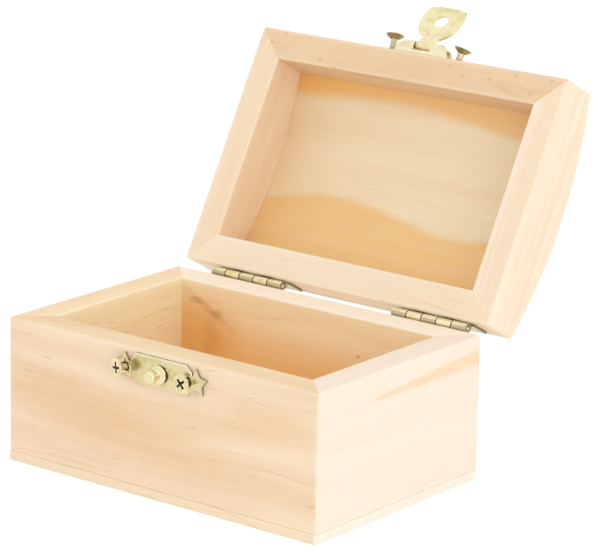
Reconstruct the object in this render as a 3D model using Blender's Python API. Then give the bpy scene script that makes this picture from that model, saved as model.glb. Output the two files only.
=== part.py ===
"""Small pine money box with an arched lid, two butt hinges and a hasp catch.

Metres, +Z up, the front of the box faces -Y, and the origin lies under the
middle of the base. The lid stands open on its hinge stop and the hasp stands
out from the lid's front. Every lid piece is drawn where it lies when the box
is shut, and its parent empty on the hinge axis turns it open.
"""
import math

import bmesh
import bpy
from mathutils import Matrix, Vector

MM = 0.001
GAP = 0.3 * MM                 # air left between two pieces that touch
SINK = 0.1 * MM                # keeps joined faces of one piece from lying in one plane

# Wooden case
BOX_WIDTH = 110.0 * MM
BOX_DEPTH = 74.0 * MM
BASE_HEIGHT = 42.2 * MM
BASE_WALL = 9.4 * MM
SHEET = 3.0 * MM               # bottom sheet and curved top sheet
LID_RAIL = 9.0 * MM
LID_SIDE = 13.2 * MM           # rim to the start of the arch, outside
LID_CROWN = 19.4 * MM          # rim to the top of the arch, outside
RIM_GAP = 0.4 * MM             # between the two rims when shut
ARCH_STEPS = 24

# Hinges, on the outside of the two back rails
HINGE_CENTRES = {"left": -30.0 * MM, "right": 36.0 * MM}
HINGE_LENGTH = 26.0 * MM
HINGE_AXIS_BEHIND = 2.0 * MM   # barrel axis behind the back face
KNUCKLES = 5
BARREL_RADIUS = 1.4 * MM
BARREL_NOTCH = 1.8 * MM
BORE_RADIUS = 0.65 * MM
PIN_RADIUS = 0.55 * MM
LEAF_REACH = 9.6 * MM          # barrel axis to the leaf's free edge
LEAF_SHEET = 0.7 * MM
LEAF_SCREW_SPREAD = 8.0 * MM   # hinge middle to each screw
LEAF_SCREW_REACH = 5.9 * MM    # barrel axis to the screw line
LID_OPEN = math.radians(118.9)

# Catch on the lid and keeper on the base, on the outside of the front
CATCH_X = 1.3 * MM             # middle of both plates, a little off the box's middle
PLATE_SHEET = 1.0 * MM
PLATE_HALF = 10.9 * MM
PLATE_TALL = 8.6 * MM
PLATE_CUT = 1.8 * MM           # size of the cut corners
STAR_OFFSET = 12.6 * MM
STAR_RADIUS = 3.9 * MM
STAR_INNER = 2.1 * MM
STAR_RAISE = 0.6 * MM
STAR_POINTS = 5
KEEPER_HEIGHT = 36.9 * MM      # plate middle above the ground
CATCH_HEIGHT = 6.3 * MM        # plate middle above the lid's rim
STUD_STEM = 1.3 * MM
STUD_KNOB = 1.8 * MM
STUD_FLANGE = 2.7 * MM
STUD_FLANGE_THICK = 0.7 * MM
STUD_KNOB_DEEP = 1.3 * MM      # knob's length along the stud
STUD_REACH = 5.9 * MM          # stud tip in front of the front face
HASP_AXIS_AHEAD = 3.2 * MM     # hasp pin in front of the front face
HASP_AXIS_UP = 4.0 * MM        # hasp pin above the lid's rim
HASP_BARREL = 1.3 * MM
HASP_KNUCKLE_HALF = 2.8 * MM
CATCH_KNUCKLE_END = 6.2 * MM
BOSS_TALL = 3.8 * MM           # raised boss that carries the catch knuckles
BOSS_FLOOR = 1.4 * MM          # its height behind the hasp's knuckle
BOSS_SLOPE = [(6.4 * MM, 4.0 * MM), (8.6 * MM, 3.0 * MM), (9.4 * MM, 0.5 * MM)]
HASP_HOLE = 2.2 * MM
HASP_SHEET = 0.8 * MM
HASP_WIDE = 7.0 * MM
HASP_NECK = 3.1 * MM           # pin to the start of the shoulders
HASP_TIP = 15.2 * MM
HASP_SQUARE = 4.0              # 2 would give an elliptical tip
LIP_HALF = 5.0 * MM
LIP_SHEET = 0.7 * MM
LIP_REACH = 2.0 * MM
LIP_DROP = 0.6 * MM
HASP_RAISED = math.radians(112.0)

# Screws
CATCH_SCREW = {"head": 2.7, "shank": 1.1, "head_deep": 1.5, "rim": 0.3, "proud": 1.9,
               "bite": 5.5, "point": 0.33}
LEAF_SCREW = {"head": 1.9, "shank": 0.8, "head_deep": 0.9, "rim": 0.3, "proud": 0.2,
              "bite": 5.0, "point": 0.24}
# Each catch screw: place along X from the plate's middle, how far it is backed
# out, and its lean to the left in degrees
KEEPER_SCREWS = {"left": (-12.2 * MM, 0.0, 16.0), "right": (10.0 * MM, 0.0, 0.0)}
LID_SCREWS = {"left": (-12.8 * MM, 1.8 * MM, 8.0), "right": (11.0 * MM, 0.9 * MM, -6.0)}
ROUND = 24
SMALL_ROUND = 16

HALF_W = BOX_WIDTH / 2
HALF_D = BOX_DEPTH / 2
RIM = BASE_HEIGHT + RIM_GAP
HASP_AXIS = Vector((CATCH_X, -HALF_D - HASP_AXIS_AHEAD, RIM + HASP_AXIS_UP))
HASP_HOLE_REACH = HASP_AXIS.z - KEEPER_HEIGHT
HINGE_AXIS = Vector((0, HALF_D + HINGE_AXIS_BEHIND, BASE_HEIGHT + RIM_GAP / 2))
ARCH_RISE = LID_CROWN - LID_SIDE
ARCH_RADIUS = (HALF_D ** 2 + ARCH_RISE ** 2) / (2 * ARCH_RISE)


def material(name, colour, roughness, metallic):
    """Make a plain Principled material."""
    made = bpy.data.materials.new(name)
    made.use_nodes = True
    shader = made.node_tree.nodes["Principled BSDF"]
    shader.inputs["Base Color"].default_value = (*colour, 1.0)
    shader.inputs["Roughness"].default_value = roughness
    shader.inputs["Metallic"].default_value = metallic
    made.diffuse_color = (*colour, 1.0)
    return made


def pine(name, shade=1.0):
    """Unfinished pale pine, a little lighter or darker from board to board."""
    colour = (0.80 * shade, 0.60 * shade, 0.36 * shade)
    return material(name + "_pine", colour, 0.62, 0.0)


def brass(name):
    """Thin bright brass plate."""
    return material(name + "_brass", (0.83, 0.70, 0.33), 0.3, 1.0)


def put(name, mesh, finish, parent=None):
    """Put a mesh in the scene as one named piece."""
    piece = bpy.data.objects.new(name, mesh)
    bpy.context.scene.collection.objects.link(piece)
    if finish:
        mesh.materials.append(finish)
    if parent:
        piece.parent = parent
        piece.location = -parent_origin(parent)
    return piece


def parent_origin(empty):
    """Where an empty stands when the box is shut."""
    return Vector(empty["shut_origin"])


def mesh_from(build, smooth=False):
    """Run a bmesh builder and keep its result as a closed mesh."""
    shape = bmesh.new()
    build(shape)
    bmesh.ops.recalc_face_normals(shape, faces=shape.faces)
    mesh = bpy.data.meshes.new("shape")
    shape.to_mesh(mesh)
    shape.free()
    if smooth:
        mesh.shade_smooth()
        mesh.set_sharp_from_angle(angle=math.radians(35))
    return mesh


def extrude(shape, outline, along):
    """Extrude a closed outline of 3D points along a vector."""
    face = shape.faces.new([shape.verts.new(point) for point in outline])
    made = bmesh.ops.extrude_face_region(shape, geom=[face])
    moved = [item for item in made["geom"] if isinstance(item, bmesh.types.BMVert)]
    bmesh.ops.translate(shape, verts=moved, vec=along)


def block(shape, low, high):
    """Add a box between two corners."""
    low, high = Vector(low), Vector(high)
    corners = [(low.x, low.y), (high.x, low.y), (high.x, high.y), (low.x, high.y)]
    extrude(shape, [(x, y, low.z) for x, y in corners], (0, 0, high.z - low.z))


def rod(shape, start, end, radius, end_radius=None, sides=SMALL_ROUND):
    """Add a round bar or a cone stump between two points."""
    start, end = Vector(start), Vector(end)
    direction = end - start
    turn = direction.to_track_quat("Z", "X").to_matrix().to_4x4()
    place = Matrix.Translation((start + end) / 2) @ turn
    bmesh.ops.create_cone(
        shape, cap_ends=True, segments=sides, radius1=radius,
        radius2=radius if end_radius is None else end_radius,
        depth=direction.length, matrix=place)


def join(target, other, operation):
    """Union or cut one piece with a hidden helper."""
    other.hide_render = True
    other.display_type = "WIRE"
    change = target.modifiers.new(operation.title(), "BOOLEAN")
    change.operation = operation
    change.solver = "EXACT"
    change.object = other


def helper(name, build, parent=None):
    """A hidden shape used by Boolean modifiers."""
    return put(name, mesh_from(build), None, parent)


def axis_empty(name, shut_origin, parent=None):
    """An empty on a joint axis, placed for the shut box."""
    empty = bpy.data.objects.new(name, None)
    bpy.context.scene.collection.objects.link(empty)
    empty["shut_origin"] = tuple(shut_origin)
    empty.location = shut_origin
    if parent:
        empty.parent = parent
        empty.location = Vector(shut_origin) - parent_origin(parent)
    return empty


# ---------------------------------------------------------------- wooden case

def frame_board(side, wall):
    """Plan of one mitred board of a four-board frame, as XY corners."""
    slack = GAP / math.sqrt(2)
    if side in ("front", "back"):
        way = -1 if side == "front" else 1
        outer, inner = HALF_W - slack, HALF_W - wall - slack
        return [(-outer, way * HALF_D), (outer, way * HALF_D),
                (inner, way * (HALF_D - wall)), (-inner, way * (HALF_D - wall))]
    way = -1 if side == "left" else 1
    outer, inner = HALF_D - slack, HALF_D - wall - slack
    return [(way * HALF_W, -outer), (way * HALF_W, outer),
            (way * (HALF_W - wall), inner), (way * (HALF_W - wall), -inner)]


def upright(plan, low, high):
    """Builder that raises a plan outline from one height to another."""
    def build(shape):
        extrude(shape, [(x, y, low) for x, y in plan], (0, 0, high - low))
    return build


def arch_height(y, inset):
    """Height of the arch above the rim at y, inset below the outer skin."""
    centre = LID_CROWN - ARCH_RADIUS
    return centre + math.sqrt((ARCH_RADIUS - inset) ** 2 - y * y)


def arch_profile(inset, reach):
    """Points along the arch from front to back, as (y, height over the rim)."""
    steps = range(ARCH_STEPS + 1)
    across = [reach * (2 * step / ARCH_STEPS - 1) for step in steps]
    return [(y, arch_height(y, inset)) for y in across]


def add_base():
    """Four mitred walls on a thin bottom sheet."""
    low = SHEET + GAP
    walls = {}
    for side, shade in (("front", 0.97), ("back", 0.93), ("left", 0.95), ("right", 1.0)):
        name = f"base_{side}_wall"
        plan = frame_board(side, BASE_WALL)
        mesh = mesh_from(upright(plan, low, BASE_HEIGHT))
        walls[side] = put(name, mesh, pine(name, shade))
    corner = (HALF_W, HALF_D)

    def sheet(shape):
        block(shape, (-corner[0], -corner[1], 0), (corner[0], corner[1], SHEET))
    put("base_bottom_panel", mesh_from(sheet), pine("base_bottom_panel", 1.02))
    return walls


def add_lid_frame(lid):
    """Two rails and two ends with arched tops, under a curved top sheet."""
    def above_arch(shape):
        past = HALF_D + 2 * MM
        profile = arch_profile(SHEET + GAP, past)
        outline = [(-HALF_W - MM, y, RIM + height) for y, height in profile]
        top = RIM + 2 * LID_CROWN
        outline += [(-HALF_W - MM, past, top), (-HALF_W - MM, -past, top)]
        extrude(shape, outline, (BOX_WIDTH + 2 * MM, 0, 0))

    boards = {}
    for side, shade in (("front", 0.98), ("back", 0.96), ("left", 0.97), ("right", 1.0)):
        name = "lid_" + side + ("_rail" if side in ("front", "back") else "_end")
        plan = frame_board(side, LID_RAIL)
        mesh = mesh_from(upright(plan, RIM, RIM + 1.5 * LID_CROWN))
        boards[side] = put(name, mesh, pine(name, shade), lid)
        trim = helper(f"trim_{name}", above_arch, lid)
        join(boards[side], trim, "DIFFERENCE")

    def curved_sheet(shape):
        outer = arch_profile(0, HALF_D)
        inner = arch_profile(SHEET, HALF_D)
        outline = [(-HALF_W, y, RIM + height) for y, height in outer]
        outline += [(-HALF_W, y, RIM + height) for y, height in reversed(inner)]
        extrude(shape, outline, (BOX_WIDTH, 0, 0))
    put("lid_top_panel", mesh_from(curved_sheet, smooth=True), pine("lid_top_panel", 0.98), lid)
    return boards


# --------------------------------------------------------------------- screws

def revolve(shape, profile, sides):
    """Turn (radius, height) points about Z into a closed round body."""
    rings = []
    for radius, height in profile:
        turns = [math.tau * step / sides for step in range(sides)]
        rings.append([shape.verts.new((radius * math.cos(turn), radius * math.sin(turn), height))
                      for turn in turns])
    for lower, upper in zip(rings, rings[1:]):
        for step in range(sides):
            after = (step + 1) % sides
            shape.faces.new([lower[step], lower[after], upper[after], upper[step]])
    shape.faces.new(rings[0])
    shape.faces.new(rings[-1])


def screw_mesh(size):
    """A countersunk screw along Z whose head stands proud of its seat at 0."""
    head, shank = size["head"] * MM, size["shank"] * MM
    head_base = size["proud"] * MM
    head_top = head_base + size["head_deep"] * MM
    tip = -size["bite"] * MM
    rim = size["rim"] * MM
    profile = [(size["point"] * MM, tip), (shank, tip + shank), (shank, head_base),
               (head, head_top - rim), (head, head_top)]
    return mesh_from(lambda shape: revolve(shape, profile, SMALL_ROUND), smooth=True)


def add_screws(places, size, plate, board, parent=None):
    """Screws of one size, with their holes in the plate and the board.

    Each place is (name, seat, outward direction, distance backed out).
    """
    mesh = screw_mesh(size)
    for name, seat, outward, backed_out in places:
        piece = put(name, mesh.copy(), brass(name), parent)
        piece.location += Vector(seat) + Vector(outward) * backed_out
        piece.rotation_euler = Vector(outward).to_track_quat("Z", "X").to_euler()

    def holes(shape):
        for _, seat, outward, _ in places:
            deep = Vector(seat) - Vector(outward) * (size["bite"] * MM + GAP)
            front = Vector(seat) + Vector(outward) * size["head_deep"] * MM
            rod(shape, deep, front, size["shank"] * MM + GAP)
    drill = helper(f"drill_{places[0][0]}", holes, parent)
    join(plate, drill, "DIFFERENCE")
    join(board, drill, "DIFFERENCE")


# --------------------------------------------------------------------- hinges

def knuckle_span(centre, index):
    """Start and end of one knuckle along X."""
    pitch = HINGE_LENGTH / KNUCKLES
    start = centre - HINGE_LENGTH / 2 + index * pitch
    return start + GAP / 2, start + pitch - GAP / 2


def hinge_leaf(name, centre, way, indices, parent=None):
    """One leaf: a plate on the back face and its share of the knuckles."""
    near, far = HALF_D + GAP, HALF_D + GAP + LEAF_SHEET
    axis = HINGE_AXIS

    def plate(shape):
        edges = sorted((axis.z + way * BARREL_NOTCH, axis.z + way * LEAF_REACH))
        block(shape, (centre - HINGE_LENGTH / 2, near, edges[0]),
              (centre + HINGE_LENGTH / 2, far, edges[1]))

    def tongues(shape):
        for index in indices:
            start, end = knuckle_span(centre, index)
            edges = sorted((axis.z, axis.z + way * (BARREL_NOTCH + MM)))
            block(shape, (start, near + SINK / 2, edges[0]), (end, far - SINK / 2, edges[1]))

    def barrels(shape):
        for index in indices:
            start, end = knuckle_span(centre, index)
            rod(shape, (start, axis.y, axis.z), (end, axis.y, axis.z), BARREL_RADIUS, sides=ROUND)

    def bore(shape):
        reach = HINGE_LENGTH / 2 + MM
        rod(shape, (centre - reach, axis.y, axis.z), (centre + reach, axis.y, axis.z), BORE_RADIUS)

    leaf = put(name, mesh_from(plate, smooth=True), brass(name), parent)
    join(leaf, helper(f"tongues_{name}", tongues, parent), "UNION")
    join(leaf, helper(f"barrels_{name}", barrels, parent), "UNION")
    join(leaf, helper(f"bore_{name}", bore, parent), "DIFFERENCE")
    return leaf


def add_hinge(side, centre, lid, base_board, lid_board):
    """A five-knuckle butt hinge with its pin and four screws."""
    base_leaf = hinge_leaf(f"{side}_hinge_base_leaf", centre, -1, (0, 2, 4))
    lid_leaf = hinge_leaf(f"{side}_hinge_lid_leaf", centre, 1, (1, 3), lid)
    axis = HINGE_AXIS

    def pin(shape):
        reach = HINGE_LENGTH / 2
        rod(shape, (centre - reach, axis.y, axis.z), (centre + reach, axis.y, axis.z), PIN_RADIUS)
    name = f"{side}_hinge_pin"
    put(name, mesh_from(pin, smooth=True), brass(name))

    seat_y = HALF_D + GAP + LEAF_SHEET
    for way, leaf, board, part, parent in (
            (-1, base_leaf, base_board, "base", None), (1, lid_leaf, lid_board, "lid", lid)):
        height = axis.z + way * LEAF_SCREW_REACH
        places = []
        for number, step in ((1, -1), (2, 1)):
            seat = (centre + step * LEAF_SCREW_SPREAD, seat_y, height)
            places.append((f"{side}_hinge_{part}_screw_{number}", seat, (0, 1, 0), 0.0))
        add_screws(places, LEAF_SCREW, leaf, board, parent)


# ----------------------------------------------------------- catch and keeper

def star_outline(x, z, y):
    """An upright five-pointed star."""
    points = []
    for step in range(2 * STAR_POINTS):
        radius = STAR_INNER if step % 2 else STAR_RADIUS
        angle = math.pi / 2 + math.pi * step / STAR_POINTS
        points.append((x + radius * math.cos(angle), y, z + radius * math.sin(angle)))
    return points


def star_plate(name, middle, parent=None):
    """A thin plate on the front face that ends in two raised stars."""
    face = -HALF_D - GAP
    half, cut = PLATE_TALL / 2, PLATE_CUT

    def body(shape):
        corners = [(-PLATE_HALF, -half + cut), (-PLATE_HALF + cut, -half),
                   (PLATE_HALF - cut, -half), (PLATE_HALF, -half + cut),
                   (PLATE_HALF, half - cut), (PLATE_HALF - cut, half),
                   (-PLATE_HALF + cut, half), (-PLATE_HALF, half - cut)]
        extrude(shape, [(CATCH_X + x, face, middle + z) for x, z in corners],
                (0, -PLATE_SHEET, 0))

    def stars(shape):
        back = face - SINK
        thick = PLATE_SHEET + STAR_RAISE - SINK
        for x in (CATCH_X - STAR_OFFSET, CATCH_X + STAR_OFFSET):
            extrude(shape, star_outline(x, middle, back), (0, -thick, 0))

    plate = put(name, mesh_from(body), brass(name), parent)
    join(plate, helper(f"stars_{name}", stars, parent), "UNION")
    return plate


def front_screws(part, screws, height):
    """Places of the screws that hold one of the two front plates."""
    face = -HALF_D - GAP - PLATE_SHEET
    places = []
    for side, (x, backed_out, lean) in screws.items():
        turn = math.radians(lean)
        outward = (-math.sin(turn), -math.cos(turn), 0)
        places.append((f"{part}_screw_{side}", (CATCH_X + x, face, height), outward, backed_out))
    return places


def add_keeper(front_wall):
    """The plate on the base with the stud that the hasp drops over."""
    plate = star_plate("keeper_plate", KEEPER_HEIGHT)
    face = -HALF_D - GAP - PLATE_SHEET

    def stud_hole(shape):
        rod(shape, (CATCH_X, -HALF_D, KEEPER_HEIGHT), (CATCH_X, face - MM, KEEPER_HEIGHT),
            STUD_STEM + GAP)
    join(plate, helper("hole_keeper_stud", stud_hole), "DIFFERENCE")

    def stud(shape):
        tip = STUD_REACH - GAP - PLATE_SHEET
        knob = tip - STUD_KNOB_DEEP
        ease = STUD_KNOB - STUD_STEM
        profile = [(STUD_STEM, -PLATE_SHEET), (STUD_STEM, GAP / 2), (STUD_FLANGE, GAP / 2),
                   (STUD_FLANGE - GAP, STUD_FLANGE_THICK), (STUD_STEM, STUD_FLANGE_THICK),
                   (STUD_STEM, knob - ease), (STUD_KNOB, knob), (STUD_KNOB, tip - ease),
                   (STUD_STEM, tip)]
        revolve(shape, profile, ROUND)
    piece = put("keeper_stud", mesh_from(stud, smooth=True), brass("keeper_stud"))
    piece.location = (CATCH_X, face, KEEPER_HEIGHT)
    piece.rotation_euler = (math.pi / 2, 0, 0)

    places = front_screws("keeper", KEEPER_SCREWS, KEEPER_HEIGHT)
    add_screws(places, CATCH_SCREW, plate, front_wall)


def hasp_outline():
    """Right half of the hasp: straight neck, round shoulders, broad square tip."""
    reach = HASP_HOLE_REACH
    points = [(HASP_KNUCKLE_HALF, 0.0)]
    neck_turn = math.acos(HASP_KNUCKLE_HALF / HASP_WIDE)
    shoulder = (reach - HASP_NECK) / math.sin(neck_turn)
    steps = 8
    for step in range(steps):
        turn = neck_turn * (1 - step / steps)
        points.append((HASP_WIDE * math.cos(turn), reach - shoulder * math.sin(turn)))
    for step in range(steps):
        turn = math.pi / 2 * step / steps
        across = HASP_WIDE * math.cos(turn) ** (2 / HASP_SQUARE)
        points.append((across, reach + (HASP_TIP - reach) * math.sin(turn) ** (2 / HASP_SQUARE)))
    return points + [(0.0, HASP_TIP)]


def knuckle_sides(way):
    """Start and end along X of one of the catch plate's two knuckles."""
    return sorted((CATCH_X + way * (HASP_KNUCKLE_HALF + GAP), CATCH_X + way * CATCH_KNUCKLE_END))


def along_pin(shape, reach, radius, sides=SMALL_ROUND):
    """A round bar on the hasp pin's axis, reaching the same way to both sides."""
    side = Vector((reach, 0, 0))
    rod(shape, HASP_AXIS - side, HASP_AXIS + side, radius, sides=sides)


def add_catch(lid, front_rail):
    """The plate on the lid with its two knuckles, its pin and its screws."""
    plate = star_plate("catch_plate", RIM + CATCH_HEIGHT, lid)
    axis = HASP_AXIS

    def boss(shape):
        low = [(-x, high) for x, high in reversed(BOSS_SLOPE)]
        gap = HASP_KNUCKLE_HALF + GAP
        low += [(-gap, BOSS_SLOPE[0][1]), (-gap, BOSS_FLOOR)]
        outline = low + [(-x, high) for x, high in reversed(low)]
        points = [(CATCH_X + x, -HALF_D - high, axis.z - BOSS_TALL / 2) for x, high in outline]
        extrude(shape, points, (0, 0, BOSS_TALL))

    def knuckles(shape):
        for way in (-1, 1):
            start, end = knuckle_sides(way)
            rod(shape, (start, axis.y, axis.z), (end, axis.y, axis.z), HASP_BARREL, sides=ROUND)

    def bore(shape):
        along_pin(shape, CATCH_KNUCKLE_END + MM, BORE_RADIUS)
    join(plate, helper("boss_catch_plate", boss, lid), "UNION")
    join(plate, helper("knuckles_catch_plate", knuckles, lid), "UNION")
    join(plate, helper("bore_catch_plate", bore, lid), "DIFFERENCE")

    pin = mesh_from(lambda shape: along_pin(shape, CATCH_KNUCKLE_END, PIN_RADIUS), smooth=True)
    put("catch_pin", pin, brass("catch_pin"), lid)

    places = front_screws("catch", LID_SCREWS, RIM + CATCH_HEIGHT)
    add_screws(places, CATCH_SCREW, plate, front_rail, lid)


def add_hasp(lid):
    """The swinging hasp, on its own empty on the pin's axis."""
    axis = HASP_AXIS
    pivot = axis_empty("hasp_axis", axis, lid)
    half = hasp_outline()
    outline = half + [(-x, reach) for x, reach in reversed(half) if x > 0]

    def body(shape):
        back = axis.y + HASP_SHEET / 2
        points = [(axis.x + x, back, axis.z - reach) for x, reach in outline]
        extrude(shape, points, (0, -HASP_SHEET, 0))

    def knuckle(shape):
        along_pin(shape, HASP_KNUCKLE_HALF - GAP / 4, HASP_BARREL, ROUND)

    def lip(shape):
        low = axis.z - HASP_TIP
        inner, outer = axis.y + GAP, axis.y - LIP_REACH
        side = [(inner, low + SINK), (outer, low - LIP_DROP), (outer, low - LIP_DROP + LIP_SHEET),
                (axis.y - SINK, low + 2 * LIP_SHEET), (inner, low + 2 * LIP_SHEET)]
        extrude(shape, [(axis.x - LIP_HALF, y, z) for y, z in side], (2 * LIP_HALF, 0, 0))

    def openings(shape):
        along_pin(shape, 2 * HASP_KNUCKLE_HALF, BORE_RADIUS)
        front = (axis.x, axis.y - HASP_BARREL, KEEPER_HEIGHT)
        back = (axis.x, axis.y + HASP_BARREL, KEEPER_HEIGHT)
        rod(shape, front, back, HASP_HOLE, sides=ROUND)

    hasp = put("hasp", mesh_from(body), brass("hasp"), pivot)
    join(hasp, helper("knuckle_hasp", knuckle, pivot), "UNION")
    join(hasp, helper("lip_hasp", lip, pivot), "UNION")
    join(hasp, helper("openings_hasp", openings, pivot), "DIFFERENCE")
    pivot.rotation_euler = (-HASP_RAISED, 0, 0)


def main():
    """Build the whole money box."""
    for old in list(bpy.data.objects):
        bpy.data.objects.remove(old)
    lid = axis_empty("lid_axis", HINGE_AXIS)
    walls = add_base()
    boards = add_lid_frame(lid)
    for side, centre in HINGE_CENTRES.items():
        add_hinge(side, centre, lid, walls["back"], boards["back"])
    add_keeper(walls["front"])
    add_catch(lid, boards["front"])
    add_hasp(lid)
    lid.rotation_euler = (-LID_OPEN, 0, 0)


main()
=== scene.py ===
"""Pine money box with an arched lid: detailed boards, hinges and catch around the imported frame."""
import math

import bmesh
import bpy
from mathutils import Matrix, Vector


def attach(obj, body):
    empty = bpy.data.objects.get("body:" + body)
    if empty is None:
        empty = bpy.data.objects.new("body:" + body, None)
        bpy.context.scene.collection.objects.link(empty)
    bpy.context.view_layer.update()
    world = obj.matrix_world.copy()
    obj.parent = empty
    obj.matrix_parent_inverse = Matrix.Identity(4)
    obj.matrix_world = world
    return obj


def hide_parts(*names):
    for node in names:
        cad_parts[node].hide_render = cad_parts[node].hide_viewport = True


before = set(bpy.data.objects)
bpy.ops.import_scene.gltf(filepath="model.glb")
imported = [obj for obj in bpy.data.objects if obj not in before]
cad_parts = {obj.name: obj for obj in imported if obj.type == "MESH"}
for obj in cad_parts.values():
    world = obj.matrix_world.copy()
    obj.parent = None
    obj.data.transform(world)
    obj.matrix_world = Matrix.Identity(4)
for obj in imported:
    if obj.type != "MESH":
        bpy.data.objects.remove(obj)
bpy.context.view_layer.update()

MM = 0.001

# Wooden case, as in the frame
HALF_W, HALF_D = 55 * MM, 37 * MM
BASE_HEIGHT, BASE_WALL = 42.2 * MM, 9.4 * MM
SHEET, LID_RAIL = 3 * MM, 9 * MM
LID_SIDE, LID_CROWN = 13.2 * MM, 19.4 * MM
RIM = 42.6 * MM
ARCH_RISE = LID_CROWN - LID_SIDE
ARCH_RADIUS = (HALF_D ** 2 + ARCH_RISE ** 2) / (2 * ARCH_RISE)

# Hinges
HINGE_AXIS = Vector((0, 39 * MM, 42.4 * MM))
HINGE_CENTRES = {"left": -30 * MM, "right": 36 * MM}
HINGE_LENGTH, KNUCKLES = 26 * MM, 5
BARREL_RADIUS, PIN_RADIUS = 1.4 * MM, 0.55 * MM
LEAF_REACH, LEAF_SHEET = 9.6 * MM, 0.7 * MM
LEAF_SCREW_SPREAD, LEAF_SCREW_REACH = 8 * MM, 5.9 * MM
LID_OPEN = math.radians(118.9)

# Catch and keeper. HASP_SQUARE is the exponent of the superellipse round the hasp's tip. Each
# screw has its place along its plate, how far it stands out, and its lean in degrees.
CATCH_X = 1.3 * MM
PLATE_SHEET, PLATE_HALF, PLATE_TALL, PLATE_CUT = 1 * MM, 10.9 * MM, 8.6 * MM, 1.8 * MM
STAR_OFFSET, STAR_RADIUS, STAR_INNER, STAR_RAISE = 12.6 * MM, 3.9 * MM, 2.1 * MM, 0.6 * MM
KEEPER_HEIGHT, CATCH_HEIGHT = 36.9 * MM, 6.3 * MM
HASP_AXIS = Vector((CATCH_X, -HALF_D - 3.2 * MM, RIM + 4 * MM))
HASP_BARREL, HASP_KNUCKLE_HALF, CATCH_KNUCKLE_END = 1.3 * MM, 2.8 * MM, 6.2 * MM
BOSS_TALL, BOSS_FLOOR = 3.8 * MM, 1.4 * MM
HASP_HOLE, HASP_SHEET, HASP_WIDE, HASP_NECK = 2.2 * MM, 0.8 * MM, 7 * MM, 3.1 * MM
HASP_TIP, HASP_SQUARE = 15.2 * MM, 4
LIP_HALF, LIP_REACH, LIP_SHEET = 5 * MM, 2 * MM, 0.62 * MM
HASP_RAISED = math.radians(112)
KEEPER_SCREWS = {"left": (-12.2 * MM, 0, 16), "right": (10.0 * MM, 0, 0)}
LID_SCREWS = {"left": (-12.8 * MM, 1.8 * MM, 8), "right": (11.0 * MM, 0.9 * MM, -6)}


def turned_about(axis, angle):
    """A turn about the X direction through a point."""
    return Matrix.Translation(axis) @ Matrix.Rotation(angle, 4, "X") @ Matrix.Translation(-axis)


SHUT = Matrix.Identity(4)
LID_TURN = turned_about(HINGE_AXIS, -LID_OPEN)
HASP_TURN = LID_TURN @ turned_about(HASP_AXIS, -HASP_RAISED)
TURNS = {"base": SHUT, "lid": LID_TURN, "hasp": HASP_TURN}


# ------------------------------------------------------------------ node tools

class Graph:
    """Short calls for building one material's nodes."""

    def __init__(self, name):
        self.material = bpy.data.materials.new(name)
        self.material.use_nodes = True
        self.tree = self.material.node_tree
        self.shader = self.tree.nodes["Principled BSDF"]

    def node(self, kind, **settings):
        made = self.tree.nodes.new(kind)
        for key, value in settings.items():
            setattr(made, key, value)
        return made

    def feed(self, socket, value):
        if isinstance(value, bpy.types.NodeSocket):
            self.tree.links.new(value, socket)
        elif isinstance(value, tuple) and len(value) == 3 and socket.type == "RGBA":
            socket.default_value = (*value, 1)
        else:
            socket.default_value = value

    def fill(self, node, values):
        for name, value in values.items():
            self.feed(node.inputs[name], value)

    def math(self, operation, a, b=0.0, c=None, clamp=False):
        made = self.node("ShaderNodeMath", operation=operation, use_clamp=clamp)
        self.feed(made.inputs[0], a)
        self.feed(made.inputs[1], b)
        if c is not None:
            self.feed(made.inputs[2], c)
        return made.outputs[0]

    def times(self, a, b, clamp=False):
        return self.math("MULTIPLY", a, b, clamp=clamp)

    def line(self, value, slope, offset):
        return self.math("MULTIPLY_ADD", value, slope, offset)

    def vector(self, operation, a, b=(0, 0, 0)):
        made = self.node("ShaderNodeVectorMath", operation=operation)
        self.feed(made.inputs[0], a)
        self.feed(made.inputs[1], b)
        return made.outputs["Value" if operation == "LENGTH" else "Vector"]

    def stretch(self, vector, factors):
        return self.vector("MULTIPLY", vector, factors)

    def split(self, vector):
        made = self.node("ShaderNodeSeparateXYZ")
        self.feed(made.inputs[0], vector)
        return made.outputs[0], made.outputs[1], made.outputs[2]

    def combine(self, x, y, z):
        made = self.node("ShaderNodeCombineXYZ")
        for socket, value in zip(made.inputs, (x, y, z)):
            self.feed(socket, value)
        return made.outputs[0]

    def noise(self, vector, detail=2.0, roughness=0.5, distortion=0.0):
        made = self.node("ShaderNodeTexNoise")
        self.fill(made, {"Vector": vector, "Scale": 1.0, "Detail": detail,
                         "Roughness": roughness, "Distortion": distortion})
        return made.outputs[0]

    def step(self, value, low, high, to_low=0.0, to_high=1.0):
        made = self.node("ShaderNodeMapRange", interpolation_type="SMOOTHSTEP")
        for socket, number in zip(made.inputs, (value, low, high, to_low, to_high)):
            self.feed(socket, number)
        return made.outputs[0]

    def mix(self, share, a, b, blend="MIX"):
        made = self.node("ShaderNodeMix", data_type="RGBA", blend_type=blend)
        self.feed(made.inputs[0], share)
        self.feed(made.inputs[6], a)
        self.feed(made.inputs[7], b)
        return made.outputs[2]

    def attribute(self, name, output="Fac"):
        return self.node("ShaderNodeAttribute", attribute_name=name).outputs[output]

    def bump(self, height, strength, distance):
        made = self.node("ShaderNodeBump")
        self.fill(made, {"Strength": strength, "Distance": distance, "Height": height})
        return made.outputs[0]


# ------------------------------------------------------------------- materials

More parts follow.
